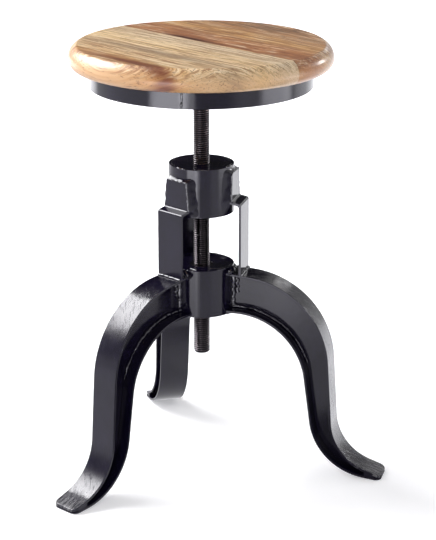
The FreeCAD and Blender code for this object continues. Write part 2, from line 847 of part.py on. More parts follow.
def make_strap(label, bend_height):
    body = new_body(label)
    sketch = new_sketch(body, "XZ_Plane")
    tongue_bottom = bend_height + joggle_rise
    tongue_top = tongue_bottom + size("tongue_length")
    draw_polygon(sketch, [
        (strap_back, leg_top_height(strap_back)),
        (strap_face, leg_top_height(strap_face)),
        (strap_face, bend_height),
        (tongue_face, tongue_bottom),
        (tongue_face, tongue_top),
        (tongue_back, tongue_top),
        (tongue_back, tongue_bottom - bend_shift),
        (strap_back, bend_height - bend_shift),
    ])

    def on_bend(edge):
        """The four edges across the strap where it bends."""
        box = edge.BoundBox
        across = box.XLength < TOUCH and box.ZLength < TOUCH and box.YLength > TRIM_MARGIN
        low = bend_height.value - bend_shift.value - TOUCH
        return across and low < box.ZMin < tongue_bottom.value + TOUCH

    bar = pad(body, sketch, size("strap_width"), symmetric=True)
    round_edges(body, bar, on_bend, size("strap_bend_round"))
    # Trim both sides of the tongue to its taper, sloping in across the joggle.
    trim = new_sketch(body, "YZ_Plane")
    half_width = size("strap_width") / 2
    for side in (1, -1):
        draw_polygon(trim, [
            ((half_width + TRIM_MARGIN) * side, bend_height - TRIM_MARGIN),
            (size("tongue_base_width") / 2 * side, tongue_bottom),
            (size("tongue_top_width") / 2 * side, tongue_top + TRIM_MARGIN),
            ((half_width + TRIM_MARGIN) * side, tongue_top + TRIM_MARGIN),
        ])
    cut_through(body, trim)
    return body


for number, leg_place in enumerate(LEG_PLACES):
    leg_angle = size("leg_angle") + 360 / len(LEG_PLACES) * number
    for piece in (
        make_outer_strip(f"leg_{leg_place}_outer_strip"),
        make_inner_strip(f"leg_{leg_place}_inner_strip"),
        make_web(f"leg_{leg_place}_web"),
        make_strap(f"strap_{leg_place}", bend_heights[leg_place]),
    ):
        turn(piece, leg_angle)
        keep(piece)

doc.recompute()
for item in doc.Objects:
    if "Invalid" in item.State or "Error" in item.State:
        raise RuntimeError(f"{item.Label} failed: {item.State}")
os.makedirs("parts", exist_ok=True)
for label, item in parts.items():
    if item.Shape.isNull() or not item.Shape.isValid():
        raise RuntimeError(f"{label} has no sound shape")
    item.Shape.exportStep(f"parts/{label}.step")
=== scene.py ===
"""Looks of the screw stool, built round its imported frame: lacquered plank seat on a welded,
black enamelled base with a threaded spindle."""

import math

import bpy
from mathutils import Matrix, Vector, noise


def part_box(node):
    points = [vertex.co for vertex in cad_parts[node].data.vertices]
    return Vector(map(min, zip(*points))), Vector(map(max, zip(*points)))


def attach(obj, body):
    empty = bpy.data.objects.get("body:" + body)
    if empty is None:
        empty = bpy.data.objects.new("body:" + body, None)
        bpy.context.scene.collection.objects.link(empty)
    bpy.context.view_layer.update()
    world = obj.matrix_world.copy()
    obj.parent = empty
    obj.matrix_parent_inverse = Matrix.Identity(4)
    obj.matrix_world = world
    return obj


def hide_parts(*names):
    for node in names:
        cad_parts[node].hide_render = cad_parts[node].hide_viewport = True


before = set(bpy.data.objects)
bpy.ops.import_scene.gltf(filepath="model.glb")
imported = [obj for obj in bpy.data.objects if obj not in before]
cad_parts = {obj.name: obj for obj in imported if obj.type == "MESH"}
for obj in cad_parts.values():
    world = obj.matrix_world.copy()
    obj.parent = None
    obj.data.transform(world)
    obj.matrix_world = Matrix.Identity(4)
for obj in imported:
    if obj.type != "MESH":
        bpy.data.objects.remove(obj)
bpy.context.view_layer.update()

MM = 0.001

# Without a seed, noise vectors start from the clock, and the weld beads would wander differently in each run.
NOISE_SEED = 1
noise.seed_set(NOISE_SEED)

# The leg directions and the run of the seat's boards, as the frame has them, in degrees.
LEG_AZIMUTHS = {"back": 104.8, "left": 224.8, "right": 344.8}
BOARD_TURN = 47.0


# ---------------------------------------------------------------- small helpers

def linear(colour):
    """An sRGB hex colour as the linear one that a shader socket takes."""
    channels = [int(colour[i:i + 2], 16) / 255 for i in (1, 3, 5)]
    return tuple(c / 12.92 if c <= 0.04045 else ((c + 0.055) / 1.055) ** 2.4 for c in channels) + (1.0,)


def per_mm(size):
    """The scale of a texture whose features are this many millimetres wide."""
    return 1 / (size * MM)


def add_node(tree, kind, settings=(), values=(), links=(), stops=()):
    """Adds a shader node with its settings, socket values, links into it and colour stops."""
    node = tree.nodes.new(kind)
    for name, value in dict(settings).items():
        setattr(node, name, value)
    for name, value in dict(values).items():
        node.inputs[name].default_value = value
    for name, source in dict(links).items():
        tree.links.new(source, node.inputs[name])
    if stops:
        ramp = node.color_ramp.elements
        while len(ramp) < len(stops):
            ramp.new(0.5)
        for element, (position, colour) in zip(ramp, sorted(stops)):
            element.position = position
            element.color = linear(colour)
    return node


def ranged(tree, value, low, high, to_low=0.0, to_high=1.0, kind="LINEAR"):
    """A value brought from one range into another and held there."""
    return add_node(tree, "ShaderNodeMapRange", {"interpolation_type": kind},
                    {"From Min": low, "From Max": high, "To Min": to_low, "To Max": to_high},
                    {"Value": value}).outputs["Result"]


def stretched_noise(tree, source, sizes, shift=(0, 0, 0), detail=3.0, roughness=0.6):
    """Noise whose features are this many millimetres long along each axis of the source."""
    run = add_node(tree, "ShaderNodeMapping",
                   values={"Location": shift, "Scale": [per_mm(size) for size in sizes]}, links={"Vector": source})
    return add_node(tree, "ShaderNodeTexNoise", values={"Scale": 1.0, "Detail": detail, "Roughness": roughness},
                    links={"Vector": run.outputs["Vector"]}).outputs["Fac"]


def laid_over(tree, under, colour, share):
    """A colour laid over another by a share."""
    mix = add_node(tree, "ShaderNodeMix", {"data_type": "RGBA"}, links={"Factor": share, 6: under})
    mix.inputs[7].default_value = linear(colour)
    return mix.outputs[2]


def new_material(name):
    """An empty node material and its tree."""
    material = bpy.data.materials.new(name)
    material.use_nodes = True
    material.node_tree.nodes.clear()
    return material, material.node_tree


def activate(piece):
    """Deselects everything and makes this piece the one that operators act on."""
    bpy.ops.object.select_all(action="DESELECT")
    piece.select_set(True)
    bpy.context.view_layer.objects.active = piece


def apply_modifier(piece, kind, **settings):
    """Adds a modifier with these settings and applies it."""
    activate(piece)
    modifier = piece.modifiers.new(kind.lower(), kind)
    for name, value in settings.items():
        setattr(modifier, name, value)
    bpy.ops.object.modifier_apply(modifier=modifier.name)


def smooth(piece, angle):
    """Shades a piece smooth except at edges sharper than this angle in degrees."""
    activate(piece)
    bpy.ops.object.shade_smooth_by_angle(angle=math.radians(angle))


def line_of_edges(name, points):
    """A line of edges through these points, made from one side of a plane."""
    bpy.ops.object.select_all(action="DESELECT")
    bpy.ops.mesh.primitive_plane_add(size=1, location=(0, 0, 0))
    line = bpy.context.object
    line.name = name
    bpy.ops.object.mode_set(mode="EDIT")
    bpy.ops.mesh.select_all(action="SELECT")
    bpy.ops.mesh.delete(type="ONLY_FACE")
    bpy.ops.object.mode_set(mode="OBJECT")
    for vertex in line.data.vertices:
        vertex.select = vertex.co.x > 0
    bpy.ops.object.mode_set(mode="EDIT")
    bpy.ops.mesh.delete(type="VERT")
    bpy.ops.mesh.select_all(action="SELECT")
    if len(points) > 2:
        bpy.ops.mesh.subdivide(number_cuts=len(points) - 2)
    bpy.ops.object.mode_set(mode="OBJECT")
    for vertex, point in zip(sorted(line.data.vertices, key=lambda v: v.co.y), points):
        vertex.co = point
    return line


def finish_piece(piece, body, slot, material, *nodes):
    """Gives a piece its material and the body it rides on, and hides the CAD nodes it stands for. slot is not used.
    """
    piece.data.materials.clear()
    piece.data.materials.append(material)
    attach(piece, body)
    if nodes:
        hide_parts(*nodes)


# ---------------------------------------------------------------- materials

def black_enamel(name, grind_depth, wave_depth, roughness, attribute=None, ior=1.52):
    """Black enamel sprayed on mild steel: a blue-black film, glossy enough to mirror the white room as grey,
    with the slow waves of the steel and the film, rubbed patches that are duller, and the grinding marks under it.
    grind_depth and wave_depth are in mm. attribute says how far across and along its leg, and how high, each point
    is; with it, toes are scuffed deeper and scratches cross the marks."""
    material, tree = new_material(name)
    place = add_node(tree, "ShaderNodeTexCoord").outputs["Object"]
    # The grinder leaves some stretches rough and others smooth, over about 28 mm.
    rubbed = stretched_noise(tree, place, (28, 28, 28), detail=4.0)
    worked = ranged(tree, rubbed, 0.38, 0.62, 0.35, 1.0, "SMOOTHSTEP")
    run = place
    if attribute:
        run = add_node(tree, "ShaderNodeAttribute", {"attribute_name": attribute}).outputs["Vector"]
        height = add_node(tree, "ShaderNodeSeparateXYZ", links={"Vector": run}).outputs["Z"]
        scuffed = ranged(tree, height, 9 * MM, 22 * MM, 0.5, 0.0)
        worked = add_node(tree, "ShaderNodeMath", {"operation": "ADD"},
                          links={0: worked, 1: scuffed}).outputs["Value"]
    # Grinding marks, about 1 mm wide and 5 mm long; real ones are finer, but would not show.
    marks = stretched_noise(tree, run, (1.0, 5, 60))
    peel = stretched_noise(tree, place, (7, 7, 7), roughness=0.5)
    tint = add_node(tree, "ShaderNodeValToRGB", links={"Fac": rubbed},
                    stops=[(0.35, "#0c0919"), (0.6, "#110d20"), (0.8, "#161328")])
    colour = tint.outputs["Color"]
    if attribute:
        # On the toes the film is worn through to bare steel in short streaks.
        streaks = stretched_noise(tree, run, (1.8, 20, 60), (3, 5, 0))
        bare = add_node(tree, "ShaderNodeMath", {"operation": "MULTIPLY"},
                        links={0: scuffed, 1: ranged(tree, streaks, 0.53, 0.62, 0.0, 1.0)})
        colour = laid_over(tree, colour, "#8b8a8d", bare.outputs["Value"])
        # A few long scratches cross the grinding marks; drawn 1 mm wide, where real ones are a third of that.
        turned = add_node(tree, "ShaderNodeMapping", values={"Rotation": (0, 0, math.radians(38))},
                          links={"Vector": run})
        scratches = ranged(tree, stretched_noise(tree, turned.outputs["Vector"], (1.0, 16, 60), (7, 1, 0)), 0.6, 0.68)
        marks = add_node(tree, "ShaderNodeMath", {"operation": "MULTIPLY_ADD"}, {1: -0.6},
                         {0: scratches, 2: marks}).outputs["Value"]
    depth = add_node(tree, "ShaderNodeMath", {"operation": "MULTIPLY"}, {1: grind_depth * MM}, {0: worked})
    fine = add_node(tree, "ShaderNodeBump", values={"Strength": 1.0},
                    links={"Height": marks, "Distance": depth.outputs["Value"]})
    film = add_node(tree, "ShaderNodeBump", values={"Strength": 0.5, "Distance": wave_depth * MM},
                    links={"Height": peel, "Normal": fine.outputs["Normal"]})
    enamel = add_node(tree, "ShaderNodeBsdfPrincipled",
                      values={"IOR": ior, "Specular Tint": linear("#fcfbff")},
                      links={"Base Color": colour, "Normal": film.outputs["Normal"],
                             "Roughness": ranged(tree, rubbed, 0.4, 0.7, roughness - 0.03, roughness + 0.08)})
    add_node(tree, "ShaderNodeOutputMaterial", links={"Surface": enamel.outputs["BSDF"]})
    return material


def oiled_steel(name, attribute=None):
    """Cut steel thread, blackened and oiled: wiped crests that glint, and roots painted near black as painted shade
    in the thread's hollows.
    attribute says how near each point is to a crest, from 0 to 1."""
    material, tree = new_material(name)
    place = add_node(tree, "ShaderNodeTexCoord").outputs["Object"]
    stain = stretched_noise(tree, place, (9, 9, 9), detail=4.0)
    colour = add_node(tree, "ShaderNodeValToRGB", links={"Fac": stain},
                      stops=[(0.3, "#5f585e"), (0.55, "#777075"), (0.75, "#928a8d")]).outputs["Color"]
    if attribute:
        crest = add_node(tree, "ShaderNodeAttribute", {"attribute_name": attribute}).outputs["Fac"]
        # The roots are painted near black: painted shade in the thread's hollows.
        colour = laid_over(tree, colour, "#0b090c", ranged(tree, crest, 0.92, 0.5, kind="SMOOTHSTEP"))
    steel = add_node(tree, "ShaderNodeBsdfPrincipled", values={"Metallic": 1.0},
                     links={"Base Color": colour, "Roughness": ranged(tree, stain, 0.3, 0.7, 0.17, 0.3)})
    add_node(tree, "ShaderNodeOutputMaterial", links={"Surface": steel.outputs["BSDF"]})
    return material


def zinc_steel(name):
    """Zinc plated screws: pale grey metal, slightly clouded."""
    material, tree = new_material(name)
    place = add_node(tree, "ShaderNodeTexCoord").outputs["Object"]
    cloud = stretched_noise(tree, place, (2, 2, 2), roughness=0.5)
    tint = add_node(tree, "ShaderNodeValToRGB", links={"Fac": cloud},
                    stops=[(0.3, "#a3a39c"), (0.7, "#c6c8c6")])
    plate = add_node(tree, "ShaderNodeBsdfPrincipled", values={"Metallic": 1.0, "Roughness": 0.34},
                     links={"Base Color": tint.outputs["Color"]})
    add_node(tree, "ShaderNodeOutputMaterial", links={"Surface": plate.outputs["BSDF"]})
    return material


def lacquered_acacia(name, seed, low, high, bands, pith, streak, figure):
    """Acacia plank under gloss lacquer: bands of sap and heart wood that feather into each other along the board,
    crisp dark and pale grain lines that follow the growth rings down over the rim, thin veins, short pores, and one
    dark figure where a branch once was.
    low and high are the board's edges across the grain in mm, bands the tones across it, pith the rings' centre
    across and up in mm, streak the tone of the dark grain, and figure the dark patch: where it is along and across,
    its half length and half width in mm, its colour and its strength."""
    material, tree = new_material(name)
    place = add_node(tree, "ShaderNodeTexCoord").outputs["Object"]
    # Along the board is X, across it Y.
    board = add_node(tree, "ShaderNodeMapping", values={"Rotation": (0, 0, math.radians(BOARD_TURN))},
                     links={"Vector": place}).outputs["Vector"]
    run = add_node(tree, "ShaderNodeSeparateXYZ", links={"Vector": board})
    wander = stretched_noise(tree, board, (120, 40, 60), (seed, seed * 2.0, 0), 2.0, 0.5)
    # The growth rings: how far each point is from the pith, which leans a little along the board.
    to_pith = add_node(tree, "ShaderNodeMapping",
                       values={"Location": (0, -pith[0] * MM, -pith[1] * MM), "Rotation": (0, math.radians(1.5), 0)},
                       links={"Vector": board})
    section = add_node(tree, "ShaderNodeVectorMath", {"operation": "MULTIPLY"}, links={0: to_pith.outputs["Vector"]})
    section.inputs[1].default_value = (0, 1, 1)
    radius = add_node(tree, "ShaderNodeVectorMath", {"operation": "LENGTH"}, links={0: section.outputs["Vector"]})
    ring = add_node(tree, "ShaderNodeMath", {"operation": "MULTIPLY_ADD"}, {1: 9 * MM},
                    {0: wander, 2: radius.outputs["Value"]})
    grain = add_node(tree, "ShaderNodeCombineXYZ", links={"X": run.outputs["X"], "Y": ring.outputs["Value"],
                                                          "Z": run.outputs["Y"]}).outputs["Vector"]
    # Growth bands 5 mm thick and lines 1.4 mm thick, which the slanting cut of the top spreads to two or three times
    # that; the lines are drawn about twice their real width, so that they show.
    lines = stretched_noise(tree, grain, (260, 5, 45), (seed * 3.0, 0, seed), 4.0)
    fine = stretched_noise(tree, grain, (90, 1.4, 9), (seed, seed, 0), 3.0, 0.6)
    # How far the wander and the lines push the bands about, in mm. Both average one half, so half of it is a shift.
    wander_push, line_push = 22, 44
    mean_shift = (wander_push + line_push) / 2
    wandered = add_node(tree, "ShaderNodeMath", {"operation": "MULTIPLY_ADD"}, {1: wander_push * MM},
                        {0: wander, 2: run.outputs["Y"]})
    feathered = add_node(tree, "ShaderNodeMath", {"operation": "MULTIPLY_ADD"}, {1: line_push * MM},
                         {0: lines, 2: wandered.outputs["Value"]})
    across_board = ranged(tree, feathered.outputs["Value"], (low + mean_shift) * MM, (high + mean_shift) * MM)
    colour = add_node(tree, "ShaderNodeValToRGB", links={"Fac": across_board},
                      stops=[((at - low) / (high - low), tone) for at, tone in bands]).outputs["Color"]
    # The turned and sanded rim shows its grain softer than the top.
    clear = ranged(tree, run.outputs["Z"], 492 * MM, 505 * MM, 0.2, 1.0)
    for tone, least, most, share in ((streak, 0.51, 0.59, 0.68), ("#f6e7cb", 0.47, 0.39, 0.5)):
        shown = add_node(tree, "ShaderNodeMath", {"operation": "MULTIPLY"},
                         links={0: clear, 1: ranged(tree, fine, least, most, 0.0, share)})
        colour = laid_over(tree, colour, tone, shown.outputs["Value"])
    # Lacquer soaks deeper into the rim's cut fibres and leaves them browner.
    colour = laid_over(tree, colour, "#ad7540", ranged(tree, run.outputs["Z"], 490 * MM, 504 * MM, 0.46, 0.0))
    # The dark figure, with its edges drawn out along the grain.
    along, across, half_length, half_width, dark, strength = figure
    to_figure = add_node(tree, "ShaderNodeMapping",
                         values={"Location": (-along / half_length, -across / half_width, 0),
                                 "Scale": (per_mm(half_length), per_mm(half_width), 0)}, links={"Vector": board})
    off_figure = add_node(tree, "ShaderNodeVectorMath", {"operation": "LENGTH"},
                          links={0: to_figure.outputs["Vector"]})
    ragged = add_node(tree, "ShaderNodeMath", {"operation": "MULTIPLY_ADD"}, {1: 1.6},
                      {0: lines, 2: off_figure.outputs["Value"]})
    colour = laid_over(tree, colour, dark, ranged(tree, ragged.outputs["Value"], 1.2, 2.0, strength, 0.0))
    # Thin veins, where a slow pattern 4.5 mm thick passes its middle.
    veins = stretched_noise(tree, grain, (200, 4.5, 30), (seed * 1.3, seed, 0), 2.0)
    from_middle = add_node(tree, "ShaderNodeMath", {"operation": "SUBTRACT"}, {1: 0.5}, {0: veins})
    off_vein = add_node(tree, "ShaderNodeMath", {"operation": "ABSOLUTE"}, links={0: from_middle.outputs["Value"]})
    vein = add_node(tree, "ShaderNodeMath", {"operation": "MULTIPLY"},
                    links={0: clear, 1: ranged(tree, off_vein.outputs["Value"], 0.01, 0.035, 0.6, 0.0)})
    colour = laid_over(tree, colour, streak, vein.outputs["Value"])
    # Pores 1.6 mm wide and 15 mm long; real ones are a quarter of that, but would not show.
    pores = stretched_noise(tree, board, (15, 1.6, 1.8), (0, seed, 0), 2.0, 0.6)
    colour = laid_over(tree, colour, "#6a4528", ranged(tree, pores, 0.57, 0.68, 0.0, 0.6))
    relief = add_node(tree, "ShaderNodeBump", values={"Strength": 0.2, "Distance": 0.06 * MM}, links={"Height": fine})
    lacquer = add_node(tree, "ShaderNodeBsdfPrincipled",
                       values={"IOR": 1.5, "Roughness": 0.4, "Coat Weight": 0.45, "Coat Roughness": 0.16},
                       links={"Base Color": colour, "Normal": relief.outputs["Normal"]})
    add_node(tree, "ShaderNodeOutputMaterial", links={"Surface": lacquer.outputs["BSDF"]})
    return material


enamel_ground = black_enamel("black_enamel_on_ground_strip", 0.17, 0.12, 0.12, "leg_run")
enamel_plain = black_enamel("black_enamel_on_rolled_steel", 0.02, 0.12, 0.1)
# Beads are too small here for their glints to show at the real 1.52, so the film on them is drawn shinier.
enamel_weld = black_enamel("black_enamel_on_weld_bead", 0.05, 0.2, 0.09, ior=1.95)
thread_steel = oiled_steel("oiled_thread_steel_with_painted_root_shade", "crest")
turned_steel = oiled_steel("blackened_oiled_turned_steel")
screw_zinc = zinc_steel("zinc_plated_screw_steel")

BOARD_WOODS = {
    "seat_board_outer_front": lacquered_acacia(
        "lacquered_acacia_outer_front", 1.7, -151, -88.2,
        [(-150, "#e0ba90"), (-140, "#d6ab7d"), (-132, "#d0a172"), (-122, "#bd844f"), (-112, "#dab07a"),
         (-102, "#e3c092"), (-94, "#e6c69a")],
        (-60, 400), "#8f5b36", (45, -127, 90, 8, "#6f3420", 0.9)),
    "seat_board_inner_front": lacquered_acacia(
        "lacquered_acacia_inner_front", 4.3, -88.2, 4.8,
        [(-86, "#e2c398"), (-78, "#dcbc92"), (-68, "#dfc096"), (-58, "#efcfa2"), (-44, "#f2d09c"), (-30, "#f1d2a4"),
         (-16, "#e0c6a2"), (-6, "#edd7b4"), (3, "#e6cca7")],
        (-120, 390), "#946a44", (20, -72, 125, 11, "#8b7560", 0.65)),
    "seat_board_inner_back": lacquered_acacia(
        "lacquered_acacia_inner_back", 7.9, 4.8, 97.8,
        [(5, "#bf8b57"), (14, "#b77d4e"), (30, "#b47747"), (46, "#bd824c"), (60, "#ce9c60"), (76, "#cf9f62"),
         (88, "#c08d59"), (97, "#ab8059")],
        (0, 390), "#7d452a", (-34, 9.5, 60, 6.5, "#4f1d10", 1.0)),
    "seat_board_outer_back": lacquered_acacia(
        "lacquered_acacia_outer_back", 11.2, 97.8, 151,
        [(98, "#b78455"), (112, "#c18c5d"), (128, "#ad7b52"), (150, "#c29165")],
        (160, 400), "#5f4532", (-10, 112, 45, 7, "#5a4234", 0.6)),
}


# ---------------------------------------------------------------- seat

for board_name, wood in BOARD_WOODS.items():
    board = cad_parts[board_name]
    board.data.materials.clear()
    board.data.materials.append(wood)


# ---------------------------------------------------------------- rounded steel pieces

def merged_copy(node_name, piece_name):
    """A copy of a CAD piece with its loose triangles joined into whole faces."""
    piece = bpy.data.objects.new(piece_name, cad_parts[node_name].data.copy())
    bpy.context.scene.collection.objects.link(piece)
    activate(piece)
    bpy.ops.mesh.customdata_custom_splitnormals_clear()
    bpy.ops.object.mode_set(mode="EDIT")
    bpy.ops.mesh.select_all(action="SELECT")
    bpy.ops.mesh.remove_doubles(threshold=0.002 * MM)
    bpy.ops.mesh.dissolve_limited(angle_limit=math.radians(0.6))
    bpy.ops.object.mode_set(mode="OBJECT")
    return piece


def rounded_copy(node_name, piece_name, radius):
    """A copy of a CAD piece with its sharp edges broken, as ground and painted steel has them."""
    piece = merged_copy(node_name, piece_name)
    apply_modifier(piece, "BEVEL", width=radius * MM, segments=2, limit_method="ANGLE",
                   angle_limit=math.radians(40), use_clamp_overlap=True)
    smooth(piece, 40)
    apply_modifier(piece, "WEIGHTED_NORMAL", mode="FACE_AREA", weight=100, keep_sharp=True)
    return piece


def mark_leg_run(piece, azimuth):
    """Stores where each point is across and along its leg, and how high, for the grinding marks to follow."""
    out = Vector((math.cos(math.radians(azimuth)), math.sin(math.radians(azimuth)), 0))
    side = Vector((-out.y, out.x, 0))
    attribute = piece.data.attributes.new("leg_run", "FLOAT_VECTOR", "POINT")
    for vertex, value in zip(piece.data.vertices, attribute.data):
        value.vector = (vertex.co.dot(side), (vertex.co.dot(out) - vertex.co.z) / math.sqrt(2), vertex.co.z)


# How far the edges of the legs' pieces and of the straps are broken, in mm.
LEG_EDGE, STRAP_EDGE = 0.9, 0.8

for leg_name, azimuth in LEG_AZIMUTHS.items():
    for strip in ("outer_strip", "inner_strip", "web"):
        node_name = f"leg_{leg_name}_{strip}"
        piece = rounded_copy(node_name, f"{node_name}_painted", LEG_EDGE)
        finish = enamel_plain
        if strip == "outer_strip":
            mark_leg_run(piece, azimuth)
            finish = enamel_ground
        finish_piece(piece, "base", "black_paint", finish, node_name)
    strap = rounded_copy(f"strap_{leg_name}", f"strap_{leg_name}_painted", STRAP_EDGE)
    finish_piece(strap, "base", "black_paint", enamel_plain, f"strap_{leg_name}")

# The other painted pieces, with their body and how far their edges are broken, in mm.
PAINTED_PIECES = (
    ("upper_collar", "base", 1.1), ("collar_cap", "base", 0.3), ("lower_hub", "base", 1.1),
    ("hub_top_plate", "base", 0.3), ("seat_ring", "seat", 0.6), ("cross_bar_long", "seat", 0.5),
    ("cross_bar_short_front", "seat", 0.5), ("cross_bar_short_back", "seat", 0.5), ("spindle_flange", "carrier", 0.5),
)
for node_name, body, radius in PAINTED_PIECES:
    piece = rounded_copy(node_name, f"{node_name}_painted", radius)
    finish_piece(piece, body, "black_paint", enamel_plain, node_name)

for node_name, material in (("spindle_nut", turned_steel), ("guide_bush", turned_steel), ("seat_screws", screw_zinc)):
    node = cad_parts[node_name]
    node.data.materials.clear()
    node.data.materials.append(material)


# ---------------------------------------------------------------- spindle

THREAD_PITCH = 2.5
THREAD_DEPTH = 1.5
TURN_STEPS = 28


def threaded_spindle():
    """The spindle with a real helical thread: one pitch of the profile, wound up the rod and cut off at both ends."""
    low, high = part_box("spindle")
    crest = (high.x - low.x) / 2
    root = crest - THREAD_DEPTH * MM
    pitch = THREAD_PITCH * MM
    # Root flat, rising flank, rounded crest, falling flank; heights are shares of the pitch.
    profile = [(root, 0.0), (root, 0.14), (crest - 0.4 * MM, 0.36), (crest - 0.08 * MM, 0.46), (crest, 0.57),
               (crest - 0.08 * MM, 0.68), (crest - 0.4 * MM, 0.78), (root, 1.0)]
    rod = line_of_edges("spindle_threaded", [(reach, 0, share * pitch) for reach, share in profile])
    first_turn = low.z - 2 * pitch
    turns = int((high.z - first_turn) / pitch) + 2
    apply_modifier(rod, "SCREW", axis="Z", angle=2 * math.pi, screw_offset=pitch, iterations=turns,
                   steps=TURN_STEPS, render_steps=TURN_STEPS, use_merge_vertices=False)
    for vertex in rod.data.vertices:
        vertex.co.z += first_turn
    bpy.ops.object.mode_set(mode="EDIT")
    bpy.ops.mesh.select_all(action="SELECT")
    bpy.ops.mesh.remove_doubles(threshold=0.01 * MM)
    bpy.ops.mesh.bisect(plane_co=(0, 0, low.z), plane_no=(0, 0, 1), use_fill=True, clear_inner=True)
    bpy.ops.mesh.select_all(action="SELECT")
    bpy.ops.mesh.bisect(plane_co=(0, 0, high.z), plane_no=(0, 0, 1), use_fill=True, clear_outer=True)
    bpy.ops.mesh.select_all(action="SELECT")
    bpy.ops.mesh.normals_make_consistent(inside=False)
    bpy.ops.object.mode_set(mode="OBJECT")
    # The chamfered lower end.
    for vertex in rod.data.vertices:
        reach = math.hypot(vertex.co.x, vertex.co.y)
        allowed = crest - THREAD_DEPTH * MM + (vertex.co.z - low.z)
        if reach > allowed:
            vertex.co.x *= allowed / reach
            vertex.co.y *= allowed / reach
    # How near each point is to a crest; the thread's material darkens the roots from it as painted shade.
    nearness = rod.data.attributes.new("crest", "FLOAT", "POINT")
    for vertex, value in zip(rod.data.vertices, nearness.data):
        value.value = (math.hypot(vertex.co.x, vertex.co.y) - root) / (crest - root)
    smooth(rod, 70)
    return rod


finish_piece(threaded_spindle(), "seat", "oiled_steel", thread_steel, "spindle")


# ---------------------------------------------------------------- welds

# Sizes that the beads follow, as the frame has them, in mm, and where the hoop's ends meet, in degrees.
PIPE_RADIUS = 38.05
HUB_PLATE_TOP = 245.0
WEB_HALF = 1.5
TONGUE_LENGTH = 32.4
TONGUE_BASE_HALF, TONGUE_TOP_HALF = 18.25, 15.5
TONGUE_FACE = 41.15
STRAP_FACE = 52.05
LEG_TOP = 239.2
RING_SEAM_AZIMUTH = 260.4

# How far apart the points of a bead lie, in mm, and the share of its width that a thin trace keeps.
BEAD_STEP = 1.3
THINNED_BEAD = 0.4


def around(azimuth, reach, across, height):
    """A point by how far out, across and up it is on a leg, in mm."""
    turn = math.radians(azimuth)
    return Vector((reach * math.cos(turn) - across * math.sin(turn),
                   reach * math.sin(turn) + across * math.cos(turn), height)) * MM


def spaced(path, step):
    """Points along a path at about this spacing in mm."""
    points = [path[0]]
    for start, end in zip(path, path[1:]):
        count = max(1, round((end - start).length / (step * MM)))
        points += [start.lerp(end, i / count) for i in range(1, count + 1)]
    return points


def weld_bead(name, path, radius, swell, seed, body, laid_share=1.0):
    """A run of weld along a path: drops of metal frozen one on the next, so its width swells and thins.
    laid_share says how much of the run got a full bead, the rest being a thin trace."""
    points = spaced(path, BEAD_STEP)
    piece = line_of_edges(name, points)
    activate(piece)
    bpy.ops.object.convert(target="CURVE")
    curve = piece.data
    curve.bevel_depth = radius * MM
    curve.bevel_resolution = 2
    curve.use_fill_caps = True
    offset = Vector((seed * 7.3, seed * 3.1, seed))
    # Drops 3.4 mm and swells 9 mm long, laid runs 16 mm long, and a line that wanders every 4 mm.
    for point in curve.splines[0].points:
        place = point.co.xyz
        drops = 0.8 * noise.noise(place * per_mm(3.4) + offset) + 0.8 * noise.noise(place * per_mm(9) - offset)
        runs = noise.noise(place * per_mm(16) + offset)
        laid = 1.0 if runs < 2 * laid_share - 1 else THINNED_BEAD
        jitter = Vector(noise.noise_vector(place * per_mm(4) + offset)) * 0.5 * radius * MM
        point.co = (*(place + jitter), 1)
        point.radius = max(0.3, laid * (1 + swell * drops))
    bpy.ops.object.convert(target="MESH")
    smooth(piece, 60)
    finish_piece(piece, body, "black_paint", enamel_weld)


def web_edges(leg):
    """The web's upper and lower edges from the hub to the toe, as (reach, height) in mm."""
    blank = merged_copy(f"leg_{leg}_web", "web_blank")
    out = around(LEG_AZIMUTHS[leg], 1 / MM, 0, 0)
    side = around(LEG_AZIMUTHS[leg], 0, 1 / MM, 0)
    face = max((f for f in blank.data.polygons if f.normal.dot(side) > 0.99), key=lambda f: f.area)
    rim = [blank.data.vertices[i].co.copy() for i in face.vertices]
    bpy.data.objects.remove(blank)
    rim = [(corner.dot(out) / MM, corner.z / MM) for corner in rim]
    nearest, farthest = min(rim)[0], max(rim)[0]
    hub_top = max((c for c in rim if c[0] < nearest + 1), key=lambda c: c[1])
    start = rim.index(hub_top)
    rim = rim[start:] + rim[:start]
    if rim[1][0] < nearest + 1:
        rim = rim[:1] + rim[:0:-1]
    toe_corners = [i for i, c in enumerate(rim) if c[0] > farthest - 1]
    return rim[:toe_corners[0] + 1], rim[toe_corners[-1]:][::-1]


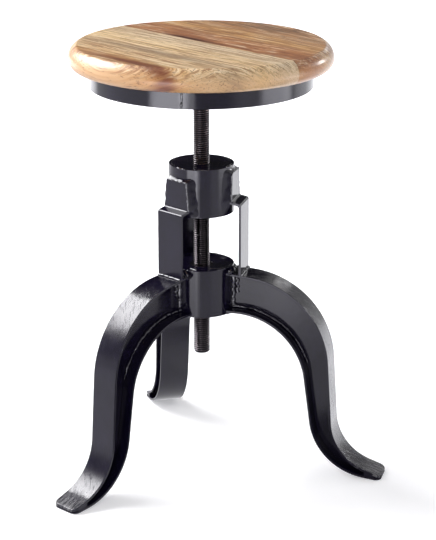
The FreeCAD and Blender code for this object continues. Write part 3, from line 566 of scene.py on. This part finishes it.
def leg_welds(leg, seed):
    """Beads along both edges of the web, up its end at the hub, across the strips at the hub and at the strap's
    foot, and a lump at the hub's corner that the photograph's side shows."""
    azimuth = LEG_AZIMUTHS[leg]
    upper, lower = web_edges(leg)
    for across in (1, -1):
        place = "near" if across > 0 else "far"
        for edge, path, radius, inset, laid in (("upper", upper, 1.1, 0.6, 0.4), ("lower", lower, 2.0, 1.5, 0.6)):
            turn = -1 if edge == "upper" else 1
            run = []
            for start, end in zip(path, path[1:]):
                along = Vector((end[0] - start[0], end[1] - start[1])).normalized()
                run.append(around(azimuth, start[0] - turn * along.y * inset, across * (WEB_HALF + inset),
                                  start[1] + turn * along.x * inset))
            weld_bead(f"weld_{leg}_web_{edge}_{place}", run, radius, 0.7, seed + across, "base", laid)
        low, high = lower[0][1] + 1.5, upper[0][1] - 1.5
        weld_bead(f"weld_{leg}_web_hub_{place}",
                  [around(azimuth, PIPE_RADIUS + 1.0, across * (WEB_HALF + 1.0), height) for height in (low, high)],
                  2.6, 0.3, seed + 2 * across, "base")
        weld_bead(f"weld_{leg}_web_patch_{place}",
                  [around(azimuth, PIPE_RADIUS + 5.0 + 1.5 * (i % 2), across * (WEB_HALF + 0.2), high - 5 - 3.5 * i)
                   for i in range(6)], 1.9, 0.5, seed + 3 * across, "base")
    rounds = [math.radians(a) for a in range(-26, 27, 4)]
    for edge, height, radius in (("top", upper[0][1] + 3.4, 2.3), ("bottom", lower[0][1] - 3.4, 1.8)):
        weld_bead(f"weld_{leg}_hub_{edge}",
                  [around(azimuth, (PIPE_RADIUS + 0.9) * math.cos(a), (PIPE_RADIUS + 0.9) * math.sin(a), height)
                   for a in rounds], radius, 0.4, seed + 5, "base")
    weld_bead(f"weld_{leg}_strap_foot",
              [around(azimuth, STRAP_FACE + 0.5, across, LEG_TOP + 0.3) for across in (-17.5, 17.5)],
              1.6, 0.2, seed + 6, "base")
    front = 1 if leg == "left" else -1
    weld_bead(f"weld_{leg}_hub_corner",
              [around(azimuth, PIPE_RADIUS + 1.5, front * across, height)
               for across, height in ((19, 239.5), (16, 242.5), (11, 245.5))], 2.6, 0.5, seed + 7, "base")


def tongue_weld(leg, seed):
    """The hollow fillet of weld that fills the corner round a strap's tongue, from the tongue's face down to the
    collar, and runs out at the collar's lower edge; and the thin bead along the tongue's own edge."""
    azimuth = LEG_AZIMUTHS[leg]
    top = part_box(f"strap_{leg}")[1].z / MM
    collar_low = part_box("upper_collar")[0].z / MM
    side_run, corner_run, top_run = top - collar_low - 1.5, 9.0, 2 * TONGUE_TOP_HALF
    whole = 2 * side_run + 2 * corner_run + top_run
    bpy.ops.object.select_all(action="DESELECT")
    bpy.ops.mesh.primitive_grid_add(x_subdivisions=80, y_subdivisions=8, size=2)
    fillet = bpy.context.object
    fillet.name = f"weld_{leg}_tongue"
    for vertex in fillet.data.vertices:
        run, share = (vertex.co.x + 1) / 2 * whole, (vertex.co.y + 1) / 2
        mirrored = run > whole / 2
        run = min(run, whole - run)
        depth = 1.0
        if run < side_run:
            height = top - side_run + run
            below = min(top - height, TONGUE_LENGTH)
            slope = (TONGUE_BASE_HALF - TONGUE_TOP_HALF) * below / TONGUE_LENGTH
            base, angle = Vector((-TONGUE_TOP_HALF - slope, height)), math.pi
            depth = min(1.0, (height - collar_low) / (top - TONGUE_LENGTH - collar_low))
        elif run < side_run + corner_run:
            base = Vector((-TONGUE_TOP_HALF, top))
            angle = math.pi * (1 - (run - side_run) / corner_run / 2)
        else:
            base = Vector((-TONGUE_TOP_HALF + run - side_run - corner_run, top))
            angle = math.pi / 2
        lump = noise.noise(Vector((run / 6 + seed, 2.0 * share, 9.0 * mirrored)))
        width = (5.8 + 1.6 * abs(math.cos(angle))) * (1 + 0.12 * lump)
        place = base + Vector((math.cos(angle), math.sin(angle))) * (width * share - 0.2)
        collar_here = math.sqrt(PIPE_RADIUS ** 2 - place.x ** 2) - 0.25
        collar_at_tongue = math.sqrt(PIPE_RADIUS ** 2 - base.x ** 2) - 0.25
        standing = depth * (TONGUE_FACE - 0.5 - collar_at_tongue) * (1 - share) ** 1.9
        ripple = 0.22 * lump * math.sin(math.pi * share)
        across = -place.x if mirrored else place.x
        vertex.co = around(azimuth, collar_here + standing + ripple, across, place.y)
    apply_modifier(fillet, "SOLIDIFY", thickness=1.6 * MM, offset=-1.0)
    bpy.ops.object.mode_set(mode="EDIT")
    bpy.ops.mesh.select_all(action="SELECT")
    bpy.ops.mesh.normals_make_consistent(inside=False)
    bpy.ops.object.mode_set(mode="OBJECT")
    smooth(fillet, 50)
    finish_piece(fillet, "base", "black_paint", enamel_plain)
    outline = [(-TONGUE_BASE_HALF, top - TONGUE_LENGTH), (-TONGUE_TOP_HALF, top), (TONGUE_TOP_HALF, top),
               (TONGUE_BASE_HALF, top - TONGUE_LENGTH)]
    weld_bead(f"weld_{leg}_tongue_edge",
              [around(azimuth, TONGUE_FACE - 0.9, across * 1.02, height) for across, height in outline],
              0.9, 0.6, seed + 8, "base", 0.7)


for seed, leg_name in enumerate(LEG_AZIMUTHS):
    leg_welds(leg_name, 11 * seed + 3)
    tongue_weld(leg_name, 5 * seed)

# Tacks that hold the collar's cap and the hub's plate, along the pipes' upper rims.
for pipe, starts in (("upper_collar", (222, 262, 318)), ("lower_hub", (236, 300, 60))):
    rim_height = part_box(pipe)[1].z / MM - 0.5
    for start in starts:
        weld_bead(f"weld_{pipe}_tack_{start}",
                  [around(start + turn, PIPE_RADIUS - 0.7, 0, rim_height) for turn in range(0, 19, 3)],
                  1.0, 0.7, start, "base", 0.8)

# Spatter left on the hub's plate.
for number, (azimuth, reach) in enumerate(((302, 24), (318, 30), (250, 27))):
    weld_bead(f"weld_spatter_{number}",
              [around(azimuth, reach + step, 1.5 * step, HUB_PLATE_TOP) for step in (-3, 0, 3)],
              0.9, 0.6, 50 + number, "base")

# The hoop's butt weld, dressed almost flush.
ring_low, ring_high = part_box("seat_ring")
ring_reach = ring_high.x / MM
weld_bead("weld_ring_seam",
          [around(RING_SEAM_AZIMUTH, ring_reach - 0.6, 0, height / MM) for height in
           (ring_low.z + 0.8 * MM, ring_high.z - 1.2 * MM)], 1.4, 0.6, 40, "seat")


# ---------------------------------------------------------------- stage, light and camera

# Where the room's dark gap is, as azimuth and elevation in degrees, how many degrees from there it ends and is
# fully dark, and where the room's bright wall is.
GAP_DIRECTION = (98, 25)
GAP_REACHES = (22, 17.5)
BRIGHT_WALL = (20, 0)

# What glossy steel sees on the floor: wedges that run out from the stool, lit or dim. Each has its azimuth, half
# width and fade in degrees, the reach in metres over which it grows, and how much it adds.
FLOOR_WEDGES = (
    (237.5, 13, 9, 0.3, 2.0, 5.2),
    (256, 6, 3, 0.3, 2.0, 2.2),
    (351, 12, 12, 1.1, 2.0, 3.2),
    (27, 5, 9, 0.05, 0.2, 0.75),
    (57, 9, 14, 0.02, 0.26, 0.95),
    (123, 4, 18, 1.3, 2.1, 2.0),
    (281, 8, 22, 0.2, 2.0, -0.55),
    # The stool's own shade, close to its feet, ends where the next one takes it back.
    (325, 32, 14, 0.0, 0.12, -0.75),
    (325, 32, 14, 0.4, 0.6, 0.75),
)


def compass(azimuth, elevation):
    """A direction by its azimuth and elevation in degrees."""
    turn, rise = math.radians(azimuth), math.radians(elevation)
    return Vector((math.cos(rise) * math.cos(turn), math.cos(rise) * math.sin(turn), math.sin(rise)))


def studio_floor():
    """A pale floor that shows white to the eye and keeps the stool's soft shadow; glossy steel sees it in lit and
    dim wedges, as lamps on stands leave it."""
    bpy.ops.object.select_all(action="DESELECT")
    bpy.ops.mesh.primitive_plane_add(size=14, location=(0, 0, 0))
    floor = bpy.context.object
    floor.name = "studio_floor"
    material, tree = new_material("pale_studio_floor")
    path = add_node(tree, "ShaderNodeLightPath")
    place = add_node(tree, "ShaderNodeTexCoord").outputs["Object"]
    reach = add_node(tree, "ShaderNodeVectorMath", {"operation": "LENGTH"}, links={0: place}).outputs["Value"]
    # The lamps reach only the middle of the floor, so to the eye it glows more towards its far edges.
    level = ranged(tree, reach, 0.25, 1.1, 0.36, 1.0, "SMOOTHSTEP")
    glow = add_node(tree, "ShaderNodeMath", {"operation": "MULTIPLY"},
                    links={0: level, 1: path.outputs["Is Camera Ray"]})
    paper = add_node(tree, "ShaderNodeBsdfDiffuse", values={"Color": linear("#ececee")})
    lift = add_node(tree, "ShaderNodeEmission", values={"Color": linear("#fbfbff")},
                    links={"Strength": glow.outputs["Value"]})
    to_eye = add_node(tree, "ShaderNodeAddShader", links={0: paper.outputs["BSDF"], 1: lift.outputs["Emission"]})
    outward = add_node(tree, "ShaderNodeVectorMath", {"operation": "NORMALIZE"}, links={0: place}).outputs["Vector"]
    total = ranged(tree, reach, 2.3, 5.5, 1.0, 0.45, "SMOOTHSTEP")
    for azimuth, half_width, fade, near, far, added in FLOOR_WEDGES:
        along = add_node(tree, "ShaderNodeVectorMath", {"operation": "DOT_PRODUCT"}, links={0: outward})
        along.inputs[1].default_value = compass(azimuth, 0)
        inside = ranged(tree, along.outputs["Value"], math.cos(math.radians(half_width + fade)),
                        math.cos(math.radians(half_width)), kind="SMOOTHSTEP")
        grown = ranged(tree, reach, near, far, 0.0, added)
        total = add_node(tree, "ShaderNodeMath", {"operation": "MULTIPLY_ADD"},
                         links={0: inside, 1: grown, 2: total}).outputs["Value"]
    sheen = add_node(tree, "ShaderNodeEmission", values={"Color": linear("#fbfbff")}, links={"Strength": total})
    shiny = add_node(tree, "ShaderNodeMath", {"operation": "MAXIMUM"},
                     links={0: path.outputs["Is Glossy Ray"], 1: path.outputs["Is Transmission Ray"]})
    seen = add_node(tree, "ShaderNodeMixShader",
                    links={0: shiny.outputs["Value"], 1: to_eye.outputs["Shader"], 2: sheen.outputs["Emission"]})
    add_node(tree, "ShaderNodeOutputMaterial", links={"Surface": seen.outputs["Shader"]})
    floor.data.materials.append(material)


def softbox(name, azimuth, distance, height, width, tall, power, mirrored=True):
    """A rectangular softbox that faces the stool's middle from this azimuth; steel mirrors it or not."""
    light = bpy.data.lights.new(name, "AREA")
    light.shape = "RECTANGLE"
    light.size, light.size_y = width, tall
    light.energy = power
    lamp = bpy.data.objects.new(name, light)
    turn = math.radians(azimuth)
    lamp.location = (distance * math.cos(turn), distance * math.sin(turn), height)
    lamp.rotation_euler = (math.pi / 2, 0, turn + math.pi / 2)
    lamp.visible_camera = False
    lamp.visible_glossy = mirrored
    bpy.context.scene.collection.objects.link(lamp)


def graded_softbox(name, azimuth, distance, low, high, width, dim, bright):
    """A tall softbox whose cloth glows more towards its top, where its lamp is."""
    bpy.ops.object.select_all(action="DESELECT")
    turn = math.radians(azimuth)
    middle = (distance * math.cos(turn), distance * math.sin(turn), (low + high) / 2)
    bpy.ops.mesh.primitive_plane_add(size=1, location=middle, rotation=(math.pi / 2, 0, turn - math.pi / 2))
    cloth = bpy.context.object
    cloth.name = name
    cloth.scale = (width, high - low, 1)
    bpy.ops.object.transform_apply(location=True, rotation=True, scale=True)
    material, tree = new_material("lit_softbox_cloth")
    place = add_node(tree, "ShaderNodeTexCoord").outputs["Object"]
    height = add_node(tree, "ShaderNodeSeparateXYZ", links={"Vector": place}).outputs["Z"]
    strength = ranged(tree, height, 0.6, 1.85, dim, bright, "SMOOTHSTEP")
    glow = add_node(tree, "ShaderNodeEmission", links={"Strength": strength})
    add_node(tree, "ShaderNodeOutputMaterial", links={"Surface": glow.outputs["Emission"]})
    cloth.data.materials.append(material)
    cloth.visible_camera = False


def studio_room():
    """White room to the eye; the light and the mirrored room come from a bright wall on the right and a dimmer one
    on the left, with a dark gap high behind the stool."""
    world = bpy.data.worlds.new("studio_room")
    bpy.context.scene.world = world
    world.use_nodes = True
    tree = world.node_tree
    tree.nodes.clear()
    path = add_node(tree, "ShaderNodeLightPath")
    direction = add_node(tree, "ShaderNodeTexCoord").outputs["Generated"]
    height = add_node(tree, "ShaderNodeSeparateXYZ", links={"Vector": direction})
    towards_wall = add_node(tree, "ShaderNodeVectorMath", {"operation": "DOT_PRODUCT"}, links={0: direction})
    towards_wall.inputs[1].default_value = compass(*BRIGHT_WALL)
    walls = ranged(tree, towards_wall.outputs["Value"], -0.5, 0.3, 0.35, 0.45, "SMOOTHSTEP")
    low_band = ranged(tree, height.outputs["Z"], -0.05, 0.25, 0.5, 0.0, "SMOOTHSTEP")
    lit_walls = add_node(tree, "ShaderNodeMath", {"operation": "ADD"}, links={0: walls, 1: low_band})
    towards_gap = add_node(tree, "ShaderNodeVectorMath", {"operation": "DOT_PRODUCT"}, links={0: direction})
    towards_gap.inputs[1].default_value = compass(*GAP_DIRECTION)
    gap_end, gap_dark = (math.cos(math.radians(reach)) for reach in GAP_REACHES)
    gap = ranged(tree, towards_gap.outputs["Value"], gap_end, gap_dark, 1.0, 0.05, "SMOOTHSTEP")
    room = add_node(tree, "ShaderNodeMath", {"operation": "MULTIPLY"}, links={0: lit_walls.outputs["Value"], 1: gap})
    level = add_node(tree, "ShaderNodeMix", {"data_type": "FLOAT"},
                     links={"Factor": path.outputs["Is Camera Ray"], 2: room.outputs["Value"]})
    level.inputs[3].default_value = 1.0
    sky = add_node(tree, "ShaderNodeBackground", links={"Strength": level.outputs[0]})
    sky.inputs["Color"].default_value = linear("#ffffff")
    add_node(tree, "ShaderNodeOutputWorld", links={"Surface": sky.outputs["Background"]})


def photo_camera():
    """The camera that the photograph was fitted with: its lens in mm, its place in metres, and its pitch and yaw."""
    lens = bpy.data.cameras.new("camera")
    lens.sensor_width = 36.0
    lens.lens = 134.41
    lens.clip_end = 100
    camera = bpy.data.objects.new("camera", lens)
    camera.location = (0, -2.2544, 0.951)
    camera.rotation_euler = (math.radians(90 - 17.581), 0, math.radians(-0.485))
    bpy.context.scene.collection.objects.link(camera)
    bpy.context.scene.camera = camera


studio_floor()
studio_room()
# Each lamp's azimuth in degrees, its distance, height and size in metres, and its power in watts; the graded one has
# its lower and upper end, its width, and how strongly it glows there.
graded_softbox("softbox_left", 150.9, 1.71, 0.5, 2.4, 1.5, 0.8, 15.0)
softbox("strobe_right", 33.6, 1.83, 0.84, 0.32, 0.32, 5)
softbox("strobe_front", 248, 2.0, 1.9, 0.16, 0.16, 3.0)
softbox("strip_back_right", 65, 1.9, 0.92, 0.3, 0.16, 0.45)
softbox("fill_front", 270, 2.6, 0.9, 2.0, 1.2, 18, mirrored=False)
softbox("fill_left", 186, 1.9, 0.75, 0.8, 0.6, 16, mirrored=False)
photo_camera()
bpy.context.scene.view_settings.view_transform = "Standard"
